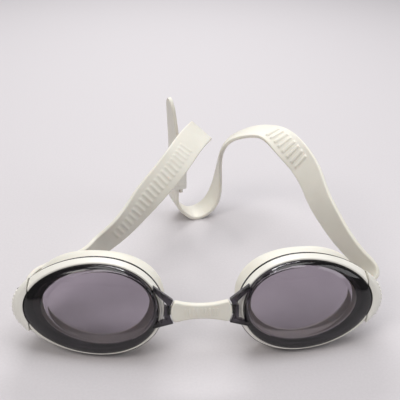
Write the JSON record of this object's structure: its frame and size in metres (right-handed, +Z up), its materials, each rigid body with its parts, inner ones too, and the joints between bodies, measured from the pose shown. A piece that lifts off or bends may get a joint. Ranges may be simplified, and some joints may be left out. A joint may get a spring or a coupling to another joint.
{
  "type": "swim goggles",
  "caption": "Swim goggles with smoke-tinted eyecups in white rims, soft face seals, a soft nose bridge, hinged strap latches and a two-part silicone strap joined in a rear buckle.",
  "frame": {"origin": "on the surface the goggles stand on, under the middle of the whole object's bounding box; x = 0 is the plane midway between the two cups", "axes": "+X towards the wearer's left, +Y from the lenses to the back of the strap, +Z up; the lenses face -Y"},
  "size_m": [0.1652, 0.1388, 0.0763],
  "materials": {
    "smoke_lens": "glossy smoke-tinted transparent polycarbonate",
    "white_plastic": "satin, warm white moulded plastic",
    "white_silicone": "matte, warm white silicone",
    "pin_steel": "plain drawn steel"
  },
  "bodies": {
    "root": {"nose_bridge": "white_silicone", "strap_left": "white_silicone", "strap_right": "white_silicone", "rear_buckle": "white_plastic"},
    "cup_left": {"lens_left": "smoke_lens", "rim_left": "white_plastic", "gasket_left": "white_silicone", "latch_pin_left": "pin_steel"},
    "cup_right": {"lens_right": "smoke_lens", "rim_right": "white_plastic", "gasket_right": "white_silicone", "latch_pin_right": "pin_steel"},
    "latch_left": {"latch_left": "white_plastic"},
    "latch_right": {"latch_right": "white_plastic"}
  },
  "joints": [
    {"name": "cup_swivel_left", "type": "hinge", "parent": "root", "child": "cup_left", "pos_m": [0.0139, -0.06453, 0.02431], "axis": [0, 0.3007, 0.9537], "range_deg": [-10, 10], "deforming": ["strap_left"]},
    {"name": "latch_left_pivot", "type": "hinge", "parent": "cup_left", "child": "latch_left", "pos_m": [0.08007, -0.0543, 0.02109], "axis": [0, 0.3007, 0.9537], "range_deg": [0, 20]},
    {"name": "cup_swivel_right", "type": "hinge", "parent": "root", "child": "cup_right", "pos_m": [-0.0139, -0.06453, 0.02431], "axis": [0, -0.3007, -0.9537], "range_deg": [-10, 10], "deforming": ["strap_right"]},
    {"name": "latch_right_pivot", "type": "hinge", "parent": "cup_right", "child": "latch_right", "pos_m": [-0.08007, -0.0543, 0.02109], "axis": [0, -0.3007, -0.9537], "range_deg": [0, 20]}
  ]
}
